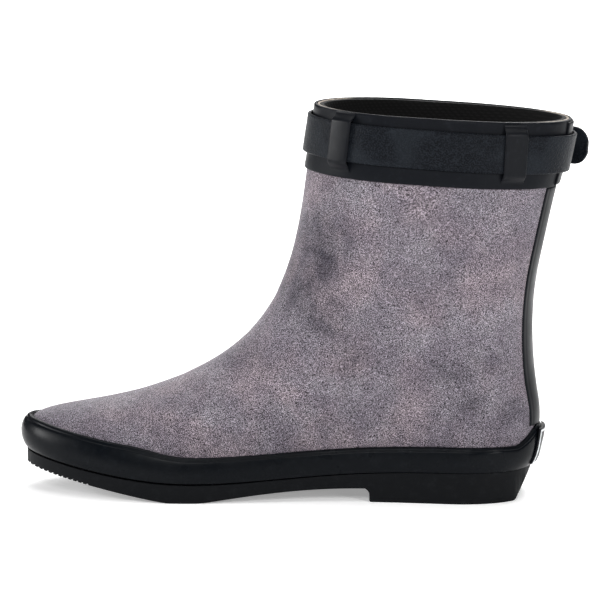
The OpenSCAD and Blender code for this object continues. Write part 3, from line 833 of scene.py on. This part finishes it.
def make_outsole():
    """Outsole with its heel block, cut from the plan by the side profile, then grooved."""
    body = prism("sole_cut", outline(FOXING_THICK - 0.15, 400), -5, 60)
    walls = [(x, float(tread(x))) for x in np.arange(-150, 37.5, 1.5) if x < BREAST_X - 2.5]
    back = [(HEEL_END_X - 1.2, 0), (HEEL_END_X - 0.3, 0.25),
            (HEEL_END_X + 0.4, 0.9), (HEEL_END_X + 12, 26)]
    breast = [(BREAST_X - 2.2, float(tread(36))), (BREAST_X - 0.8, 5.9), (BREAST_X - 0.1, 4.6),
              (BREAST_X, 0.8), (BREAST_X + 0.25, 0.25), (BREAST_X + 0.8, 0)]
    top = [(x, float(seam(x))) for x in np.arange(130, -151, -2.0)]
    cut(body, side_profile("side_cut", walls + breast + back + top), "INTERSECT")
    cut(body, prism("heel_pocket", stadium(50, 104, 18), 4, 40))
    bevel = body.modifiers.new("rounded edges", "BEVEL")
    bevel.width, bevel.segments, bevel.limit_method = 0.55 * MM, 3, "ANGLE"
    bevel.angle_limit = math.radians(38)
    apply_modifiers(body)
    for cutter in groove_cutters():
        cut(body, cutter)
    verts = np.array([v.co for v in body.data.vertices]) / MM
    faces = [list(p.vertices) for p in body.data.polygons]
    bpy.data.objects.remove(body)
    obj = add_object("sole", verts, faces, SOLE_RUBBER, "outsole_rubber", sharp=32)
    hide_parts("outsole")


def make_footbed():
    """Loose padded footbed with a soft edge, cupped round the heel and under the arch."""
    edge = outline(-4.4, 240)
    mid = middle(edge[:, 0])
    share = 1 - np.linspace(0, 1, 46) ** 1.6
    share = np.concatenate([share[:-1], [0.0]])[::-1]
    rows_top, rows_low = [], []
    for s in share:
        xy = mid + (edge - mid) * s
        reach = np.linalg.norm(edge - mid, axis=1) * (1 - s)
        soft = 1.3 * (1 - np.sqrt(1 - np.clip(1 - reach / 1.3, 0, 1) ** 2))
        cup = 2.2 * smooth((s - 0.55) / 0.4) * smooth((edge[:, 0] - 35) / 35)
        arch = 1.6 * smooth((s - 0.4) / 0.5) * np.exp(-((edge[:, 0] - 10) / 34) ** 2)
        arch = arch * (edge[:, 1] < SIDE_SHIFT)
        worn = -0.7 * np.exp(-((xy[:, 0] - 84) / 22) ** 2) * (1 - s ** 2)
        base = seam(xy[:, 0]) + 3.9
        rows_top.append(np.column_stack([xy, base + 4.5 - soft + cup + arch + worn]))
        rows_low.append(np.column_stack([xy, base + 0.4 * soft]))
    obj = add_object("footbed_pad", *shell(np.array(rows_low), np.array(rows_top), True),
                     FOOTBED_CLOTH, "footbed_foam", sharp=60)
    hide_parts("footbed")


# ---------------------------------------------------------------- strap, loops and keeper

LOOP_WIDTH, LOOP_THICK = 12, 1.3
KEEPER_HALF, KEEPER_THICK = 3.0, 1.08
STITCH_X, STITCH_LIFT, STITCH_PITCH, STITCH_HALF, THREAD_R = 89.5, 5.0, 2.5, 0.85, 0.22
STRAP_WIDTH, STRAP_THICK = 19.5, 1.8
HOLE_R, HOLE_SIDES = 1.5, 32
WIRE_R = 1.5
HEEL_BAR_X, FRONT_BAR_X, KEEPER_X, BAR_LIFT = 80, 58, 97, 5.2
FOLD_R = WIRE_R + 0.1 + STRAP_THICK / 2

# Lift of the strap's middle off the collar, at x on the outer side: x, lift
BILLET = [[46, 1.4], [52, 1.5], [57, 1.9], [62, 2.6], [68, 6.2], [74, 9.4], [80, 9.7], [85, 8.9],
          [89, 7.1], [93, 6.6], [98, 6.6], [103, 6.3], [107, 4.6], [112, 3.7]]
FLAP = [[104, 4.65], [98, 4.65], [92, 4.65], [88, 5], [84, 6.7], [80, BAR_LIFT + FOLD_R]]
MAIN = [[84, 2.7], [92, 2.75], [102, 2.75], [109, 2.1], [116, 1.4]]


def collar_frame(x, side):
    """Origin on the collar's face, along towards +X, across upwards, and outwards."""
    a = float(angle_at(STRAP, x, side))
    along = unit(skin(STRAP, a - side) - skin(STRAP, a + side))
    up = unit(skin(STRAP + 0.3, a) - skin(STRAP - 0.3, a))
    out = unit(np.cross(up, along) * side)
    return off(STRAP, a, COLLAR_THICK), along, np.cross(along, out) * side, out


def outer_point(x, n):
    """Point n off the collar's face at x on the outer side."""
    origin, _, _, out = collar_frame(x, 1)
    return origin + n * out


def surface_station(a, n):
    """Strap station at angle a: centre, outward and across directions."""
    along = unit(skin(STRAP, a + 1) - skin(STRAP, a - 1))
    out = normal(STRAP, a)
    return off(STRAP, a, COLLAR_THICK + n), out, unit(np.cross(out, along))


def outer_station(x, n):
    """Strap station at x on the outer side."""
    return surface_station(float(angle_at(STRAP, x, 1)), n)


HEEL_BAR = outer_point(HEEL_BAR_X, BAR_LIFT)
BUCKLE_ALONG = unit(HEEL_BAR - outer_point(FRONT_BAR_X, BAR_LIFT))
BUCKLE_OUT = unit(np.cross(collar_frame(HEEL_BAR_X, 1)[2], BUCKLE_ALONG))
BUCKLE_ACROSS = np.cross(BUCKLE_ALONG, BUCKLE_OUT)


def fold_station(t):
    """Strap station at angle t of its fold round the heel bar."""
    radial = -math.cos(math.radians(t)) * BUCKLE_ALONG + math.sin(math.radians(t)) * BUCKLE_OUT
    return HEEL_BAR + FOLD_R * radial, -radial, BUCKLE_ACROSS


def body_lift(a):
    """Lift of the strap's middle off the collar at angle a, away from the buckle."""
    return 1.3 + 1.2 * math.exp(-((a - 180) / 20) ** 2) + 0.6 * math.exp(-(a / 26) ** 2)


def strap_route():
    """Stations along the strap, from its flap round the heel bar to its tip: centre, outward,
    across and share of the width. Also the end of its last lift and the way it runs on."""
    end, end_out, end_across = outer_station(*BILLET[-1])
    run = unit(end - outer_station(BILLET[-1][0] - 2, BILLET[-1][1])[0])
    route = []
    for k in np.linspace(0, len(FLAP) - 1, 21):
        c, out, across = outer_station(*spline(FLAP, k))
        route.append((c, -out, across, 1))
    route += [(*fold_station(t), 1) for t in np.linspace(60, -90, 21)]
    route += [(*outer_station(*spline(MAIN, k)), 1) for k in np.linspace(0, 4, 18)]
    route += [(*surface_station(a, body_lift(a)), 1) for a in np.linspace(214, -60, 190)]
    route += [(*outer_station(*spline(BILLET, k)), 1) for k in np.linspace(0, len(BILLET) - 1, 56)]
    route += [(end + d * run, end_out, end_across, 1) for d in np.linspace(2, 25, 12)]
    for t in np.radians(np.linspace(0, 78, 18)):
        share = math.sqrt(1 - 0.95 * math.sin(t) ** 2.5)
        route.append((end + (26 + 9 * math.sin(t)) * run, end_out, end_across, share))
    return route, end, run, end_out, end_across


def make_strap():
    """One strap, lofted along its route, with its prong slots and its holes cut."""
    route, end, run, out, across = strap_route()
    outline_2d = rounded_section(STRAP_WIDTH / 2, STRAP_THICK / 2, 0.6, 0.0, 9, 4)
    sections = []
    for c, o, w, share in route:
        sections.append([c + (x * share) * w + y * o for x, y in outline_2d])
    obj = add_object("belt", *loft(np.array(sections)), LEATHER, "strap_leather")
    cuts = [((-14, -1.8, -1), (12.7, 3.6, 7)), ((-4.5, -1.8, -6), (12.5, 3.6, 9.45))]
    for i, (corner, size) in enumerate(cuts):
        x, y, z = corner
        dx, dy, dz = size
        plan = [(x, y), (x + dx, y), (x + dx, y + dy), (x, y + dy)]
        low, high = ([HEEL_BAR + p * BUCKLE_ALONG + q * BUCKLE_ACROSS + h * BUCKLE_OUT
                      for p, q in plan] for h in (z, z + dz))
        cut(obj, between(f"slot_{i}", low, high))
    other = np.cross(out, across)
    turn = np.linspace(0, 2 * math.pi, HOLE_SIDES + 1)[:-1]
    for i, d in enumerate((-2, 10)):
        low, high = ([end + d * run + h * out
                      + HOLE_R * (math.cos(s) * across + math.sin(s) * other) for s in turn]
                     for h in (-1.5, 1.5))
        cut(obj, between(f"hole_{i}", low, high))
    for p in obj.data.polygons:
        p.use_smooth = True
    obj.data.set_sharp_from_angle(angle=math.radians(38))
    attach(obj, "boot")
    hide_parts("strap")


def make_loop(name, node, x, side, lift):
    """Moulded loop that arches over the strap, on feet that fade into the collar."""
    origin, along, across, out = collar_frame(x, side)
    w = np.concatenate([np.linspace(-15, -8.4, 20), np.linspace(-7.6, 7.6, 12),
                        np.linspace(8.4, 15, 20)])
    rise = lift * smooth((14.4 - np.abs(w)) / 4.6)
    foot = smooth((np.abs(w) - 9.8) / 5)
    thick = LOOP_THICK * (1 - 0.9 * foot)
    slope = np.gradient(rise + thick / 2, w)
    sections = []
    for k in range(len(w)):
        face = unit(out - slope[k] * across)
        centre = origin + w[k] * across + (0.15 + rise[k] + thick[k] / 2) * out
        pts = rounded_section(LOOP_WIDTH / 2, thick[k] / 2, thick[k] * 0.47, 0.3, 9, 6)
        sections.append([centre + px * along + py * face for px, py in pts])
    obj = add_object(name, *loft(np.array(sections)), TRIM_RUBBER, "trim_rubber", sharp=70)
    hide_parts(node)


def make_keeper():
    """Sliding keeper: a closed band of the strap's leather with soft corners."""
    origin, along, across, out = collar_frame(KEEPER_X, 1)
    low, high = 0.12, 8.05 + LOOP_THICK
    half = STRAP_WIDTH / 2 + 0.4 + LOOP_THICK
    half_thick = KEEPER_THICK / 2
    mid = (low + high) / 2
    corner = 2.0
    ring_2d = []
    for cx, cy, start in ((1, 1, 0), (-1, 1, 90), (-1, -1, 180), (1, -1, 270)):
        for t in np.radians(np.linspace(start, start + 90, 8)):
            c, s = math.cos(t), math.sin(t)
            y = cx * (half - half_thick - corner) + corner * c
            z = cy * ((high - low) / 2 - half_thick - corner) + corner * s
            ring_2d.append((y, z, c, s))
    sections = []
    for y, z, c, s in ring_2d:
        centre = origin + y * across + (mid + z) * out
        radial = c * across + s * out
        pts = rounded_section(KEEPER_HALF, half_thick, 0.42, 0.0, 5, 4)
        sections.append([centre + px * along + py * radial for px, py in pts])
    obj = add_object("keeper_band", *loft(np.array(sections), closed=True), LEATHER,
                     "strap_leather", body="keeper", sharp=60)
    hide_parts("strap_keeper")


def make_stitches():
    """A row of thread across the turned-back flap, beside the buckle."""
    base, out, across = outer_station(STITCH_X, STITCH_LIFT)
    along = unit(outer_station(STITCH_X + 1, STITCH_LIFT)[0] - base)
    around = np.linspace(0, 2 * math.pi, 9)[:-1]
    for k in range(7):
        y = (k - 3) * STITCH_PITCH
        sections = []
        for t in np.linspace(-1, 1, 9):
            arch = STRAP_THICK / 2 + 0.12 * math.cos(t * 1.5)
            c = base + (y + STITCH_HALF * t) * across + arch * out
            sections.append([c + THREAD_R * (math.cos(s) * along + math.sin(s) * out)
                             for s in around])
        add_object(f"stitch_0_{k}", *loft(np.array(sections)), THREAD, "strap_leather")


# ---------------------------------------------------------------- carried-over parts

def finish_node(name, material):
    """A CAD node whose shape is right, given its own finish."""
    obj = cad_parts[name]
    obj.data.materials.clear()
    obj.data.materials.append(material)
    for p in obj.data.polygons:
        p.use_smooth = True
        p.material_index = 0
    obj.data.set_sharp_from_angle(angle=math.radians(32))


make_upper()
make_lining()
make_tape()
make_foxing()
make_collar()
make_back()
make_outsole()
make_footbed()
make_strap()
make_loop("loop_inner_front", "loop_front_medial", 25, -1, 2.5)
make_loop("loop_inner_rear", "loop_rear_medial", 110, -1, 2.5)
make_loop("loop_outer_front", "loop_front_lateral", 25, 1, 2.5)
make_loop("loop_outer_rear", "loop_rear_lateral", 114, 1, 5.4)
make_keeper()
make_stitches()
finish_node("buckle_frame", NICKEL)
finish_node("buckle_prong", NICKEL)
finish_node("shank", STEEL)
finish_node("insole_board", BOARD)
finish_node("heel_filler", FOAM)
finish_node("forepart_filler", FOAM)
finish_node("toe_puff", STIFFENER)
finish_node("heel_counter", STIFFENER)

# ---------------------------------------------------------------- floor, light and camera

def pale_floor():
    """Pale floor that glows more where the lamps don't reach, so it stays pale to its edge."""
    s = Shade("floor", Roughness=0.9, Specular_IOR_Level=0.05)
    cloud = s.noise(400, 2, 0.5)
    s.set("Base Color", s.mix(cloud, grey(0.9), grey(0.93)))
    away = add_node(s.tree, "ShaderNodeVectorMath", {0: s.place}, operation="LENGTH")
    s.set("Emission Strength", s.span(away.outputs["Value"], 1.0, 2.4, 0.3, 1.05))
    return s.material


def make_floor():
    mesh = bpy.data.meshes.new("floor")
    half = 12.0
    corners = [(-half, -half, 0), (half, -half, 0), (half, half, 0), (-half, half, 0)]
    mesh.from_pydata(corners, [], [(0, 1, 2, 3)])
    obj = bpy.data.objects.new("floor", mesh)
    bpy.context.scene.collection.objects.link(obj)
    mesh.materials.append(pale_floor())


def aim(obj, place, target):
    """Puts a lamp or the camera at a place, turned towards a target, in the scene."""
    bpy.context.scene.collection.objects.link(obj)
    obj.location = place
    obj.rotation_euler = (Vector(target) - Vector(place)).to_track_quat("-Z", "Y").to_euler()


def area_light(name, place, target, size, power):
    data = bpy.data.lights.new(name, "AREA")
    data.shape, data.size, data.size_y, data.energy = "RECTANGLE", size[0], size[1], power
    aim(bpy.data.objects.new(name, data), place, target)


def make_camera():
    """A long lens from the inner side, slightly above and to the heel's side."""
    data = bpy.data.cameras.new("camera")
    data.lens, data.sensor_width = 259, 36
    data.shift_x, data.shift_y = -0.004, -0.0045
    obj = bpy.data.objects.new("camera", data)
    aim(obj, (0.230, -2.188, 0.470), (0, 0, 0.1))
    bpy.context.scene.camera = obj


def make_world():
    """White behind everything the camera sees, and dim as a light on the boot."""
    world = bpy.data.worlds.new("studio")
    world.use_nodes = True
    tree = world.node_tree
    background = tree.nodes["Background"]
    background.inputs["Color"].default_value = (1, 1, 1, 1)
    ray = add_node(tree, "ShaderNodeLightPath").outputs["Is Camera Ray"]
    links = {"Value": ray, "To Min": 0.1, "To Max": 1.0}
    strength = add_node(tree, "ShaderNodeMapRange", links).outputs["Result"]
    tree.links.new(strength, background.inputs["Strength"])
    bpy.context.scene.world = world


make_floor()
make_world()
area_light("key", (-2.0, -0.4, 0.6), (-0.1, 0, 0.08), (0.7, 0.7), 30)
area_light("fill", (1.4, -1.4, 0.8), (0, 0, 0.1), (0.4, 0.9), 19)
area_light("front", (-0.1, -2.6, 1.5), (0, 0, 0.1), (1.0, 0.8), 30)
area_light("rim", (0.5, 1.4, 1.4), (0, 0, 0.12), (1.2, 0.6), 26)
area_light("top", (0, 0.1, 2.2), (0, 0, 0), (1.6, 1.6), 20)
area_light("far_floor", (0.1, 2.6, 1.6), (0.1, 2.6, 0), (3.0, 1.2), 70)
make_camera()
bpy.context.scene.view_settings.view_transform = "Standard"
